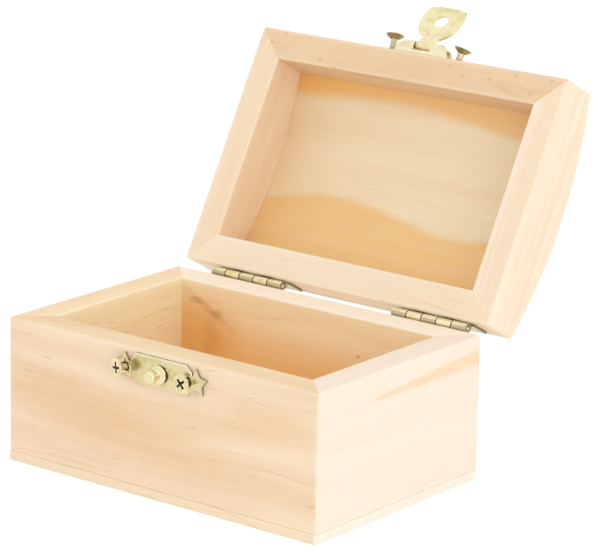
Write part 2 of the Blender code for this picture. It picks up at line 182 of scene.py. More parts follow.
# Factors on the wood's tan, then whole colours, all in linear light
LATE_WOOD, RESIN = (0.90, 0.78, 0.62), (0.58, 0.45, 0.33)
# The second colour on the next line is a painted highlight, for the brightly lit ends of the lid's
# sheet.
RUBBED_PINE, PAINTED_END_HIGHLIGHT = (0.95, 0.85, 0.70), (0.88, 0.73, 0.56)
BRASS, OLIVE = (0.84, 0.735, 0.44), (0.80, 0.80, 0.62)
# The second colour on the next line is painted shade, the near black of brass recesses, undersides
# and gaps.
RUBBED_BRASS, PAINTED_SHADE_COLOUR = (0.95, 0.88, 0.66), (0.10, 0.07, 0.03)


def shade(colour, factors):
    """A colour with each channel multiplied by its own factor."""
    return tuple(channel * factor for channel, factor in zip(colour, factors))


def pine(name, pale, tan, seed, rings=7.0, bands=1.0, lines=1.0, dashes=1.0, extra=None):
    """Unfinished pine. The grain attribute is in millimetres, with X along the fibres.

    rings is the width of the broad bands in millimetres. bands, lines and dashes are the strengths
    of the broad bands, the thin late wood and the resin dashes. extra adds the board's own marks.
    """
    g = Graph(name)
    grain = g.attribute("grain", "Vector")
    shifted = g.vector("ADD", grain, (seed * 37.0, seed * 11.0, seed * 5.0))
    along, across, deep = g.split(shifted)
    sway = g.noise(g.stretch(shifted, (0.018, 0.03, 0.03)), detail=1.0)
    slanted = g.line(deep, 0.6, g.line(sway, 14.0, across))

    wide = g.noise(g.combine(g.times(along, 0.008), g.times(slanted, 1.0 / rings), seed))
    broad = g.noise(g.stretch(shifted, (0.012, 0.05, 0.05)))
    band = g.step(g.math("ADD", g.times(wide, 0.65), g.times(broad, 0.35)), 0.36, 0.64)
    colour = g.mix(g.times(band, bands, clamp=True), pale, tan)

    fine = g.noise(g.combine(g.times(along, 0.02), g.times(slanted, 1.1), seed + 3), detail=1.0)
    where = g.step(g.noise(g.stretch(shifted, (0.02, 0.09, 0.09))), 0.42, 0.68)
    line = g.times(g.step(fine, 0.55, 0.72), where)
    colour = g.mix(g.times(line, 0.45 * lines), colour, shade(tan, LATE_WOOD))

    fibre = g.noise(g.stretch(shifted, (0.16, 4.5, 4.5)), detail=3.0, roughness=0.6)
    soft = g.line(fibre, 0.16, 0.92)
    colour = g.mix(1.0, colour, g.combine(soft, soft, soft), "MULTIPLY")

    dash_noise = g.noise(g.stretch(shifted, (0.15, 2.5, 2.5)), detail=0.0)
    few = g.step(g.noise(g.stretch(shifted, (0.03, 0.11, 0.11)), detail=1.0), 0.40, 0.60)
    dash = g.times(g.step(dash_noise, 0.745, 0.83), few)
    colour = g.mix(g.times(dash, 0.55 * dashes, clamp=True), colour, shade(tan, RESIN))
    if extra:
        colour = extra(g, grain, colour)

    rubbed = g.times(g.attribute("wear"), g.line(fibre, 0.7, 0.1), clamp=True)
    colour = g.mix(g.times(rubbed, 0.5), colour, RUBBED_PINE)
    height = g.math("SUBTRACT", fibre, g.times(dash, 0.8))
    g.fill(g.shader, {"Base Color": colour, "Roughness": g.line(fibre, 0.2, 0.5),
                      "Specular IOR Level": 0.3, "Normal": g.bump(height, 0.25, 0.12 * MM)})
    return g.material


def brass(name, tint=BRASS, rough=0.26, seed=0.0):
    """Pale plated brass with fine scratches, olive clouds, rubbed edges, and painted shade in
    recesses, under heads and in gaps.
    """
    g = Graph(name)
    place = g.attribute("grain", "Vector")
    place = g.vector("ADD", place, (seed * 9.0, seed * 4.0, seed * 2.0))
    cloud = g.noise(g.stretch(place, (0.35, 0.35, 0.35)), detail=3.0)
    scratch = g.noise(g.stretch(place, (0.7, 14.0, 9.0)), distortion=0.4)
    cross = g.noise(g.stretch(place, (11.0, 1.2, 8.0)), distortion=0.3)
    marks = g.math("MAXIMUM", g.step(scratch, 0.62, 0.72), g.step(cross, 0.66, 0.76))
    colour = g.mix(g.step(cloud, 0.40, 0.75), tint, shade(tint, OLIVE))
    colour = g.mix(g.times(g.attribute("wear"), 0.6), colour, RUBBED_BRASS)
    # Painted shade: faces given painted shade are mixed towards a near black, standing in for shade
    # in recesses, under heads and in gaps.
    colour = g.mix(g.attribute("painted_shade"), colour, PAINTED_SHADE_COLOUR)
    base = g.line(cloud, 0.16, rough - 0.06)
    height = g.math("SUBTRACT", g.times(cloud, 0.6), marks)
    g.fill(g.shader, {"Base Color": colour, "Metallic": 1.0, "Roughness": g.line(marks, 0.12, base),
                      "Normal": g.bump(height, 0.18, 0.05 * MM)})
    return g.material


# ------------------------------------------------------------------ mesh tools

def grain_from(axes, curve=None):
    """Grain coordinates in millimetres from a point, with the fibres along the first axis."""
    def grain(point):
        if curve:
            point = curve(point)
        return [point["XYZ".index(axis)] / MM for axis in axes]
    return grain


def sharp_spots(mesh):
    """1 at each vertex where the surface turns sharply, 0 elsewhere."""
    shape = bmesh.new()
    shape.from_mesh(mesh)
    worn = []
    for vertex in shape.verts:
        bends = [edge.calc_face_angle(0.0) for edge in vertex.link_edges]
        worn.append(1.0 if max(bends, default=0.0) > math.radians(26) else 0.0)
    shape.free()
    return worn


def linked(name, data):
    """A new object in the scene."""
    made = bpy.data.objects.new(name, data)
    bpy.context.scene.collection.objects.link(made)
    return made


def mesh_of(shape, name):
    """Turn a closed bmesh into a mesh with its faces outwards."""
    mesh = bpy.data.meshes.new(name)
    bmesh.ops.recalc_face_normals(shape, faces=shape.faces)
    shape.to_mesh(mesh)
    shape.free()
    return mesh


def piece(name, mesh, body, finish, grain, edge=False, sharp=32, place=None, painted_shade=None):
    """Turn a shut-box mesh into the finished piece that stands for its CAD node.

    edge marks the sharp edges as worn, and the last argument gives each face's painted shade from
    its centre and normal.
    """
    spots = [vertex.co.copy() for vertex in mesh.vertices]
    if painted_shade:
        values = [painted_shade(face.center, face.normal) for face in mesh.polygons]
        mesh.attributes.new("painted_shade", "FLOAT", "FACE").data.foreach_set("value", values)
    if place is not None:
        mesh.transform(place)
    stored = mesh.attributes.new("grain", "FLOAT_VECTOR", "POINT")
    for index, spot in enumerate(spots):
        stored.data[index].vector = grain(spot)
    if "wear" not in mesh.attributes:
        worn = mesh.attributes.new("wear", "FLOAT", "POINT")
        if edge:
            worn.data.foreach_set("value", sharp_spots(mesh))
    mesh.transform(TURNS[body])
    mesh.materials.clear()
    mesh.materials.append(finish)
    mesh.shade_smooth()
    mesh.set_sharp_from_angle(angle=math.radians(sharp))
    made = linked(name + "_piece", mesh)
    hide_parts(name)
    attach(made, body)


def baked(shape, cutters=(), adders=(), bevel=None, segments=2, angle=40):
    """A new mesh from a bmesh with other bmeshes cut away or added, and its sharp edges eased."""
    target = linked("work", mesh_of(shape, "work"))
    helpers = []
    for operation, parts in (("UNION", adders), ("DIFFERENCE", cutters)):
        for part in parts:
            helper = linked("helper", mesh_of(part, "helper"))
            helpers.append(helper)
            change = target.modifiers.new(operation, "BOOLEAN")
            change.operation = operation
            change.solver = "EXACT"
            change.object = helper
    if bevel:
        ease = target.modifiers.new("ease", "BEVEL")
        ease.width = bevel
        ease.segments = segments
        ease.limit_method = "ANGLE"
        ease.angle_limit = math.radians(angle)
        ease.use_clamp_overlap = True
    bpy.context.view_layer.update()
    graph = bpy.context.evaluated_depsgraph_get()
    mesh = bpy.data.meshes.new_from_object(target.evaluated_get(graph))
    for thing in [target, *helpers]:
        bpy.data.objects.remove(thing)
    return mesh


def extrude(shape, outline, along):
    """Extrude a closed outline of 3D points along a vector."""
    face = shape.faces.new([shape.verts.new(point) for point in outline])
    made = bmesh.ops.extrude_face_region(shape, geom=[face])
    moved = [item for item in made["geom"] if isinstance(item, bmesh.types.BMVert)]
    bmesh.ops.translate(shape, verts=moved, vec=along)


def rod(start, end, radius, end_radius=None, sides=28):
    """A round bar or a cone stump between two points."""
    shape = bmesh.new()
    start, end = Vector(start), Vector(end)
    direction = end - start
    turn = direction.to_track_quat("Z", "X").to_matrix().to_4x4()
    bmesh.ops.create_cone(
        shape, cap_ends=True, segments=sides, radius1=radius,
        radius2=radius if end_radius is None else end_radius,
        depth=direction.length, matrix=Matrix.Translation((start + end) / 2) @ turn)
    return shape


def loft(shape, rings):
    """Join rings of vertices into a closed body, one ring to the next, with flat ends."""
    count = len(rings[0])
    for lower, upper in zip(rings, rings[1:]):
        for step in range(count):
            after = (step + 1) % count
            shape.faces.new([lower[step], lower[after], upper[after], upper[step]])
    shape.faces.new(rings[0])
    shape.faces.new(rings[-1])


def circle(shape, radius, height, sides):
    """A level ring of new vertices about Z."""
    turns = [math.tau * step / sides for step in range(sides)]
    return [shape.verts.new((radius * math.cos(turn), radius * math.sin(turn), height))
            for turn in turns]


def revolve(profile, sides):
    """Turn (radius, height) points about Z into a closed round body."""
    shape = bmesh.new()
    loft(shape, [circle(shape, radius, height, sides) for radius, height in profile])
    return shape


# ---------------------------------------------------------------- wooden boards

JOINT = 0.012 * MM             # hairline left at each glued joint
CORNER = 1.0 * MM              # rounding of the upright corners
EASE_STEPS = 4                 # facets across each rounded edge
EDGE_BAND = 0.7 * MM           # flat strip beside a rounded edge, over which its wear fades
MAPS = {
    "front": lambda t, d: (t, -HALF_D + d),
    "back": lambda t, d: (-t, HALF_D - d),
    "right": lambda t, d: (HALF_W - d, t),
    "left": lambda t, d: (-HALF_W + d, -t)}


def arch_height(y, inset=0.0):
    """Height of the arch above the rim at y, inset below the outer skin."""
    return LID_CROWN - ARCH_RADIUS + math.sqrt((ARCH_RADIUS - inset) ** 2 - y * y)


def section(wall, eased):
    """Closed loop of a board's section as (depth, end, distance from that end, wear).

    eased gives the rounding at outer low, inner low, inner top and outer top.
    """
    loop = []
    for index, radius in enumerate(eased):
        far = radius + EDGE_BAND
        corner = [(0.0, far, 0.0)]
        for step in range(EASE_STEPS + 1):
            turn = math.pi / 2 * step / EASE_STEPS
            corner.append((radius * (1 - math.cos(turn)), radius * (1 - math.sin(turn)), 1.0))
        corner.append((far, 0.0, 0.0))
        if index in (1, 3):
            corner.reverse()
        for inward, off, worn in corner:
            depth = inward if index in (0, 3) else wall - inward
            loop.append((depth, "low" if index < 2 else "top", off, worn))
    return loop


def board(side, wall, low, top, eased, curved=False):
    """One mitred board. top gives the height of its upper face at y."""
    half = HALF_W if side in ("front", "back") else HALF_D
    place = MAPS[side]
    loop = section(wall, eased)
    turns = [math.pi / 4 * step / EASE_STEPS for step in range(EASE_STEPS + 1)]
    middle = 24 if curved else 2
    stations = [("end", -1, turn) for turn in reversed(turns)]
    stations += [("mid", -1 + 2 * step / middle, 0) for step in range(1, middle)]
    stations += [("end", 1, turn) for turn in turns]
    shape = bmesh.new()
    wear = shape.verts.layers.float.new("wear")
    rings = []
    for kind, way, turn in stations:
        ring = []
        for depth, end, off, worn in loop:
            if kind == "mid":
                t, d = way * (half - max(wall, CORNER) - CORNER), depth
            elif depth < CORNER:
                left = CORNER - depth
                t = way * (half - CORNER + left * math.sin(turn) - JOINT)
                d = CORNER - left * math.cos(turn)
            else:
                t = way * (half - depth - JOINT - CORNER * 0.5 * (1 - turn / (math.pi / 4)))
                d = depth
            x, y = place(t, d)
            z = low + off if end == "low" else top(y) - off
            vertex = shape.verts.new((x, y, z))
            arris = 1.0 if kind == "end" and turn > 0.2 and depth < CORNER else 0.0
            vertex[wear] = max(worn, arris)
            ring.append(vertex)
        rings.append(ring)
    loft(shape, rings)
    return shape


# ----------------------------------------------------------------- wood pieces

# The marks below are placed in grain coordinates: millimetres along the fibres, across them
# (height on a wall, unrolled depth on the lid's sheet), and deep through the board.
INSIDE_X, INSIDE_Y = (HALF_W - BASE_WALL) / MM, (HALF_D - BASE_WALL) / MM
BASE_TOP, SHEET_DEEP, END_X = BASE_HEIGHT / MM, SHEET / MM, HALF_W / MM


def blob(g, face, centre, size, sway):
    """1 at a spot of a board's face, fading to 0 at its size along and across the fibres."""
    away = g.vector("ADD", g.vector("SUBTRACT", face, (*centre, 0.0)), sway)
    away = g.vector("DIVIDE", away, (*size, 1.0))
    return g.step(g.vector("LENGTH", away), 1.0, 0.25)


def drift(g, grain, along, across):
    """A slow wander, this many millimetres along and across, to shift a mark's outline by."""
    sway = g.node("ShaderNodeTexNoise")
    g.fill(sway, {"Vector": grain, "Scale": 0.22})
    centred = g.vector("SUBTRACT", sway.outputs["Color"], (0.5, 0.5, 0.5))
    return g.stretch(centred, (along, across, 0.0))


def rim_tone(g, across):
    """1 on the top edge of a base board, 0 below it."""
    return g.step(across, BASE_TOP - 0.7, BASE_TOP - 0.1)


def back_wall(g, grain, colour):
    """Inner face painted paler, deepening to orange towards the bottom as painted shade, with two
    soft knots on a slanting streak, and a paler rim.
    """
    sway = drift(g, grain, 5.0, 2.5)
    along, across, deep = g.split(grain)
    inner = g.step(deep, INSIDE_Y + 1.0, INSIDE_Y + 0.1)
    # Painted light: the inner face is painted paler and cooler.
    colour = g.mix(inner, colour, (1.09, 1.14, 1.12), "MULTIPLY")
    # Painted shade: the inner face deepens to orange towards the bottom.
    lower = g.times(g.step(across, 41.0, 19.0), inner)
    colour = g.mix(g.times(lower, 0.84), colour, (0.95, 0.54, 0.185))
    face = g.combine(along, across, 0.0)
    lean = g.combine(along, g.math("ADD", across, g.times(along, 0.49)), 0.0)
    slow = g.stretch(sway, (0.35, 0.35, 0.35))
    knot = (0.50, 0.24, 0.07)
    for where, centre, size, wander, share, tone in (
            (face, (-38.0, 25.0), (19.0, 17.0), sway, 0.75, (0.87, 0.48, 0.145)),
            (face, (-34.6, 25.5), (4.6, 9.5), sway, 0.42, (0.70, 0.33, 0.11)),
            (lean, (-35.0, 16.95), (11.5, 2.1), sway, 0.42, (0.68, 0.33, 0.12)),
            (face, (-40.3, 36.2), (3.6, 1.7), slow, 0.42, knot),
            (face, (-32.6, 33.6), (3.0, 1.9), slow, 0.45, knot),
            (face, (19.4, 30.8), (1.1, 0.8), slow, 0.55, knot)):
        mark = g.times(blob(g, where, centre, size, wander), inner)
        colour = g.mix(g.times(mark, share), colour, tone)
    return g.mix(rim_tone(g, across), colour, (0.95, 0.82, 0.66))


def left_wall(g, grain, colour):
    """Inner face painted paler, deepening towards the bottom as painted shade."""
    _, across, deep = g.split(grain)
    inner = g.step(deep, -INSIDE_X - 1.0, -INSIDE_X - 0.1)
    # Painted light: the inner face is painted paler and cooler.
    colour = g.mix(inner, colour, (1.08, 1.19, 1.15), "MULTIPLY")
    # Painted shade: the inner face deepens towards the bottom.
    lower = g.times(g.step(across, 42.0, 20.0), inner)
    colour = g.mix(g.times(lower, 0.4), colour, (0.95, 0.66, 0.34))
    return g.mix(rim_tone(g, across), colour, (0.99, 0.97, 0.90), "MULTIPLY")


def front_wall(g, grain, colour):
    """Broad warm figure that flows across the face, and a paler top edge."""
    sway = drift(g, grain, 9.0, 4.0)
    along, across, _ = g.split(grain)
    face = g.combine(along, across, 0.0)
    lines = g.line(g.noise(g.stretch(grain, (0.012, 0.45, 0.45))), 0.9, 0.55)
    for centre, size, share in (((-34.0, 22.0), (46.0, 11.0), 0.65),
                                ((-6.0, 16.0), (46.0, 8.0), 0.6),
                                ((6.0, 26.0), (34.0, 6.5), 0.35),
                                ((38.0, 30.0), (26.0, 8.0), 0.45)):
        patch = g.times(blob(g, face, centre, size, sway), lines)
        colour = g.mix(g.times(patch, share, clamp=True), colour, (0.76, 0.49, 0.26))
    return g.mix(rim_tone(g, across), colour, (0.99, 0.97, 0.87), "MULTIPLY")


def heart_bands(g, grain, colour):
    """Warm bands with wavy edges along the front and the back of the sheet's underside, and a
    painted highlight at the sheet's ends.
    """
    along, across, deep = g.split(grain)
    from_middle = g.math("ABSOLUTE", along)
    under = g.times(g.step(deep, SHEET_DEEP - 1.0, SHEET_DEEP - 0.4),
                    g.step(from_middle, END_X - 5.0, END_X - 7.0))
    ripple = g.noise(g.stretch(grain, (0.05, 0.12, 0.12)))
    across = g.math("ADD", across, g.line(ripple, 3.0, -1.5))
    back = g.times(g.math("SINE", g.line(along, 1 / 13, -1 / 13)), 3.0)
    behind = g.step(g.math("SUBTRACT", across, back), 7.6, 11.2)
    front = g.times(g.math("COSINE", g.line(along, 1 / 17, 14 / 17)), 2.2)
    ahead = g.step(g.math("ADD", across, front), -21.0, -25.2)
    streaks = g.noise(g.stretch(grain, (0.015, 0.35, 0.35)))
    share = g.times(g.math("MAXIMUM", behind, ahead), g.line(streaks, 0.45, 0.58), clamp=True)
    share = g.math("MAXIMUM", share, g.times(g.step(along, -26.0, -46.0), 0.2))
    colour = g.mix(g.times(share, under), colour, (0.82, 0.50, 0.185))
    deeper = g.times(g.times(ahead, g.step(along, 14.0, -40.0)), under)
    colour = g.mix(g.times(deeper, 0.55), colour, (0.86, 0.46, 0.10))
    colour = g.mix(g.step(deep, 1.2, 0.4), colour, (1.03, 1.03, 1.12), "MULTIPLY")
    # Painted highlight: the sheet's ends are painted pale, like the brightly lit end face.
    ends = g.step(from_middle, END_X - 4.0, END_X - 1.5)
    return g.mix(g.times(ends, 0.8), colour, PAINTED_END_HIGHLIGHT)


def right_wall(g, grain, colour):
    """A long warm wedge that opens towards the back near the rim."""
    along, across, _ = g.split(grain)
    reach = g.math("ADD", along, 16.0)
    middle, half = g.line(reach, 0.03, 34.6), g.line(reach, 0.036, 0.5)
    off = g.math("DIVIDE", g.math("ABSOLUTE", g.math("SUBTRACT", across, middle)), half)
    share = g.times(g.step(off, 1.35, 0.5), g.step(reach, -1.0, 9.0))
    return g.mix(g.times(share, 0.5), colour, (0.83, 0.55, 0.28))


def rim_specks(g, grain, colour):
    """Soft round resin specks scattered along the rail."""
    along, across, deep = g.split(grain)
    flat = g.combine(g.times(along, 0.2), g.times(g.line(across, 1.3, deep), 0.3), 0.0)
    cells = g.node("ShaderNodeTexVoronoi", voronoi_dimensions="2D")
    g.fill(cells, {"Vector": flat, "Scale": 1.0})
    chance = g.split(cells.outputs["Color"])[0]
    size = g.line(g.math("FRACT", g.times(chance, 7.3)), 0.13, 0.03)
    speck = g.step(g.math("DIVIDE", cells.outputs["Distance"], size), 1.25, 0.6)
    some = g.math("GREATER_THAN", chance, g.step(along, -45.0, 30.0, 0.70, 0.50))
    return g.mix(g.times(g.times(speck, some), 0.55), colour, (0.56, 0.38, 0.22))


def bottom_tone(g, grain, colour):
    """Painted light: the upper face, shaded inside the box, is painted warmer and lighter, and the
    right-hand edge is painted paler as a highlight.
    """
    along, _, high = g.split(grain)
    upper = g.step(high, SHEET_DEEP - 0.7, SHEET_DEEP - 0.2)
    # Painted light on the shaded upper face.
    colour = g.mix(upper, colour, (1.08, 1.04, 0.98), "MULTIPLY")
    # Painted highlight along the right-hand edge.
    edge = g.step(along, END_X - 1.1, END_X - 0.3)
    return g.mix(g.times(edge, 0.6), colour, (0.93, 0.87, 0.80))


def end_streaks(g, grain, colour):
    """Long soft streaks that follow the board."""
    wide = g.noise(g.stretch(grain, (0.006, 0.32, 0.32)))
    thin = g.noise(g.stretch(grain, (0.01, 1.1, 1.1)), detail=1.0)
    share = g.times(g.step(wide, 0.46, 0.62), g.line(thin, 0.6, 0.5))
    return g.mix(g.times(share, 0.75, clamp=True), colour, (0.85, 0.65, 0.43))


ALONG_X, ALONG_Y = grain_from("XZY"), grain_from("YZX")
FLAT = grain_from("XYZ")


def unrolled(point):
    """The curved sheet laid flat, so that its grain follows the bend."""
    centre = RIM + LID_CROWN - ARCH_RADIUS
    angle = math.atan2(point.y, point.z - centre)
    depth = ARCH_RADIUS - math.hypot(point.y, point.z - centre)
    return Vector((point.x, ARCH_RADIUS * angle, depth))


def add_boards():
    """Walls, rails and ends of both frames."""
    base_eased = (0.25 * MM, 0.2 * MM, 0.45 * MM, 0.6 * MM)
    walls = {
        "front": dict(pale=(0.86, 0.68, 0.49), tan=(0.78, 0.56, 0.36), seed=1, bands=0.7,
                      extra=front_wall),
        "back": dict(pale=(0.90, 0.72, 0.51), tan=(0.86, 0.63, 0.40), seed=2, extra=back_wall),
        "left": dict(pale=(0.91, 0.73, 0.51), tan=(0.87, 0.64, 0.40), seed=3, bands=0.7,
                     extra=left_wall),
        # The right wall is painted paler, with fainter figure, as a painted highlight on the face
        # turned to the light.
        "right": dict(pale=(0.90, 0.77, 0.64), tan=(0.86, 0.70, 0.54), seed=4, bands=0.4,
                      lines=0.4, dashes=0.15, extra=right_wall)}
    for side, look in walls.items():
        name = f"base_{side}_wall"
        shape = board(side, BASE_WALL, SHEET + JOINT, lambda y: BASE_HEIGHT, base_eased)
        grain = ALONG_X if side in ("front", "back") else ALONG_Y
        piece(name, mesh_of(shape, name), "base", pine(name, **look), grain)

    lid_eased = (0.6 * MM, 0.45 * MM, 0.1 * MM, 0.1 * MM)
    rails = {
        "front_rail": dict(pale=(0.79, 0.575, 0.36), tan=(0.74, 0.50, 0.29), seed=5, bands=0.6,
                           dashes=0.5, extra=rim_specks),
        "back_rail": dict(pale=(0.88, 0.74, 0.56), tan=(0.85, 0.68, 0.47), seed=6, bands=0.5,
                          dashes=0.3),
        "left_end": dict(pale=(0.88, 0.71, 0.52), tan=(0.82, 0.61, 0.39), seed=7, bands=0.7,
                         dashes=0.5),
        # The right end is painted paler, with fainter figure, as a painted highlight on the face
        # turned to the light.
        "right_end": dict(pale=(0.90, 0.76, 0.61), tan=(0.86, 0.68, 0.49), seed=8, bands=0.6,
                          dashes=0.2, extra=end_streaks)}
    for label, look in rails.items():
        side = label.split("_")[0]
        name = "lid_" + label
        across = side in ("left", "right")
        shape = board(side, LID_RAIL, RIM, lambda y: RIM + arch_height(y, SHEET + JOINT),
                      lid_eased, curved=across)
        grain = ALONG_Y if across else ALONG_X
        piece(name, mesh_of(shape, name), "lid", pine(name, **look), grain)


def add_sheets():
    """The flat bottom sheet and the curved top sheet."""
    shape = bmesh.new()
    corners = ((-HALF_W, -HALF_D), (HALF_W, -HALF_D), (HALF_W, HALF_D), (-HALF_W, HALF_D))
    extrude(shape, [(x, y, 0) for x, y in corners], (0, 0, SHEET))
    bottom = baked(shape, bevel=0.55 * MM, segments=4)
    finish = pine("base_bottom_panel", pale=(0.86, 0.71, 0.53), tan=(0.81, 0.63, 0.43), seed=9,
                  bands=0.6, dashes=0.3, extra=bottom_tone)
    piece("base_bottom_panel", bottom, "base", finish, FLAT)

    shape = bmesh.new()
    steps = 36
    profile = [HALF_D * (2 * step / steps - 1) for step in range(steps + 1)]
    outline = [(-HALF_W, y, RIM + arch_height(y)) for y in profile]
    outline += [(-HALF_W, y, RIM + arch_height(y, SHEET)) for y in reversed(profile)]
    extrude(shape, outline, (2 * HALF_W, 0, 0))
    top = baked(shape, bevel=0.5 * MM, segments=3)
    finish = pine("lid_top_panel", pale=(0.85, 0.71, 0.50), tan=(0.80, 0.62, 0.39), seed=10,
                  rings=9, bands=0.6, lines=0.5, dashes=0.2, extra=heart_bands)
    piece("lid_top_panel", top, "lid", finish, grain_from("XYZ", unrolled))


add_boards()
add_sheets()


# -------------------------------------------------------------- brass hardware

PIN_EASE, BORE_RADIUS = 0.15 * MM, 0.65 * MM
SEAT = HALF_D + 0.05 * MM                     # where a front plate's back lies off the wood
HINGE_HEAD, HINGE_SHANK, HINGE_BITE = 1.85 * MM, 0.78 * MM, 5 * MM
HINGE_COUNTERSINK, HINGE_SUNK = 0.85 * MM, 0.15 * MM
LEAF_OFF = 0.42 * MM                          # from the wood to the middle of a leaf's sheet
CATCH_HEAD, CATCH_SHANK, CATCH_BITE = 2.7 * MM, 1.1 * MM, 5.5 * MM
CATCH_BARE, CATCH_COUNTERSINK, CATCH_SUNK = 1.9 * MM, 1.5 * MM, 0.25 * MM
THREAD_PITCH, THREAD_TOP, SCREW_SIDES = 0.9 * MM, 0.5 * MM, 32
HINGE_HOLE, HINGE_CONE = 0.95 * MM, (0.75 * MM, 2 * MM)
CATCH_HOLE, STUD_HOLE, KNUCKLE_GAP = 1.3 * MM, 1.5 * MM, 0.3 * MM
CURL_SHEET = 0.6 * MM
CURL_RADIUS = HASP_BARREL - 0.31 * MM


def brass_piece(name, mesh, body, slot="brass_plate", place=None, painted_shade=None, **look):
    """A finished brass piece with worn edges."""
    look.setdefault("seed", sum(map(ord, name)) % 17)
    piece(name, mesh, body, brass(name, **look), FLAT, edge=True, sharp=30, place=place,
          painted_shade=painted_shade)


def screw_painted_shade(head, base, top):
    """Painted shade on a screw's faces: its recess is painted black and the head's underside and the
    shank below it painted dark.
    """
    def painted_shade(centre, normal):
        radius = math.hypot(centre.x, centre.y)
        outward = (centre.x * normal.x + centre.y * normal.y) / max(radius, 1e-9)
        if centre.z > base and normal.z < -0.2:
            return 0.55
        if base < centre.z < top - 0.02 * MM and radius < 0.64 * head and outward < 0.3:
            return 0.97
        return 0.3 if centre.z < base else 0.0
    return painted_shade


def leaf_painted_shade(centre, normal):
    """Painted shade on a hinge leaf: its cut ends and the sheet against the wood are darkened where
    shade falls in the gaps.
    """
    if abs(normal.x) > 0.6:
        return 0.7
    return 0.4 if centre.y < HALF_D + 0.9 * MM else 0.0


def plate_side_painted_shade(centre, normal):
    """Painted shade on a front plate: its thin sides next to the wood are darkened as a painted
    shadow line.
    """
    beside = abs(normal.y) < 0.4 and centre.y > -HALF_D - 0.6 * MM
    return 0.6 if beside else 0.0


def strip(path, thickness, spans):
    """A bent sheet that follows a (y, z) path, present over the given X spans.

    Each span is (x start, x end, first path point, last path point).
    """
    shape = bmesh.new()
    stations = sorted({round(x, 8) for span in spans for x in span[:2]})
    sides = []
    for index, (y, z) in enumerate(path):
        before = path[max(index - 1, 0)]
        after = path[min(index + 1, len(path) - 1)]
        run = Vector((after[0] - before[0], after[1] - before[1])).normalized()
        off = Vector((-run.y, run.x)) * thickness / 2
        sides.append(((y + off.x, z + off.y), (y - off.x, z - off.y)))
    cells = set()
    for column, (left, right) in enumerate(zip(stations, stations[1:])):
        for start, end, first, last in spans:
            if start - 1e-7 <= left and right <= end + 1e-7:
                cells |= {(column, row) for row in range(first, last)}
    made = {}

    def vertex(column, row, face):
        key = (column, row, face)
        if key not in made:
            made[key] = shape.verts.new((stations[column], *sides[row][face]))
        return made[key]
    for column, row in cells:
        ring = [(column, row), (column + 1, row), (column + 1, row + 1), (column, row + 1)]
        shape.faces.new([vertex(*spot, 0) for spot in ring])
        shape.faces.new([vertex(*spot, 1) for spot in reversed(ring)])
        beside = [(column, row - 1), (column + 1, row), (column, row + 1), (column - 1, row)]
        for index, other in enumerate(beside):
            if other not in cells:
                a, b = ring[index], ring[(index + 1) % 4]
                shape.faces.new([vertex(*a, 1), vertex(*b, 1), vertex(*b, 0), vertex(*a, 0)])
    return shape


def arc(centre, radius, start, end, steps):
    """Points on an arc in the (y, z) plane, angles in degrees from +y."""
    points = []
    for step in range(steps + 1):
        turn = math.radians(start + (end - start) * step / steps)
        points.append((centre[0] + radius * math.cos(turn), centre[1] + radius * math.sin(turn)))
    return points


def knuckle_span(centre, index):
    """Start and end of one knuckle along X."""
    pitch = HINGE_LENGTH / KNUCKLES
    start = centre - HINGE_LENGTH / 2 + index * pitch
    return start + KNUCKLE_GAP / 2, start + pitch - KNUCKLE_GAP / 2


def leaf_mesh(centre, way, indices):
    """A hinge leaf whose sheet curls round the pin at its knuckles.

    way is 1 for the lid's leaf and -1 for the base's. The sheet's middle is drawn as (y, distance
    from the axis), from the free edge to the start of the curl, and flares out at the notch.
    """
    axis = (HINGE_AXIS.y, HINGE_AXIS.z)
    near = HALF_D + LEAF_OFF
    curl = BARREL_RADIUS - LEAF_SHEET / 2
    path = [(near, -LEAF_REACH), (near, -LEAF_REACH + 1.2 * MM), (near, -3.2 * MM),
            (near, -2.6 * MM), (near + 0.1 * MM, -2.1 * MM), (near + 0.28 * MM, -1.7 * MM),
            (axis[0] - curl - 0.05 * MM, -1.1 * MM), (axis[0] - curl, -0.5 * MM)]
    notch = 4
    path += arc((axis[0], 0), curl, 180, -98, 22)
    path = [(y, axis[1] - way * z) for y, z in path]
    spans = [(centre - HINGE_LENGTH / 2, centre + HINGE_LENGTH / 2, 0, notch)]
    for index in indices:
        ends = knuckle_span(centre, index)
        spans += [(*ends, notch, len(path) - 1), (*ends, 0, notch)]
    height = axis[1] + way * LEAF_SCREW_REACH
    cutters = []
    for step in (-1, 1):
        x = centre + step * LEAF_SCREW_SPREAD
        cutters.append(rod((x, HALF_D - MM, height), (x, HALF_D + 2 * MM, height), HINGE_HOLE))
        cutters.append(rod((x, HALF_D + 0.3 * MM, height), (x, HALF_D + 1.3 * MM, height),
                           *HINGE_CONE))
    return baked(strip(path, LEAF_SHEET, spans), cutters, bevel=0.1 * MM, segments=2, angle=50)


def cross_pocket(reach, width, depth, top):
    """A tapered cross that cuts a Phillips recess."""
    shape = bmesh.new()

    def loop(reach, width, height):
        half = width / 2
        quarter = [(half, reach), (-half, reach), (-half, half), (-reach, half)]
        points = []
        for turn in range(4):
            angle = math.pi / 2 * turn
            c, s = math.cos(angle), math.sin(angle)
            points += [(x * c - y * s, x * s + y * c) for x, y in quarter[1:]]
        return [shape.verts.new((x, y, height)) for x, y in points]
    rings = [loop(reach * 1.04, width * 1.05, top + 0.1 * MM), loop(reach, width, top),
             loop(reach * 0.62, width * 0.85, top - depth * 0.75),
             loop(reach * 0.30, width * 0.5, top - depth)]
    loft(shape, rings)
    return shape


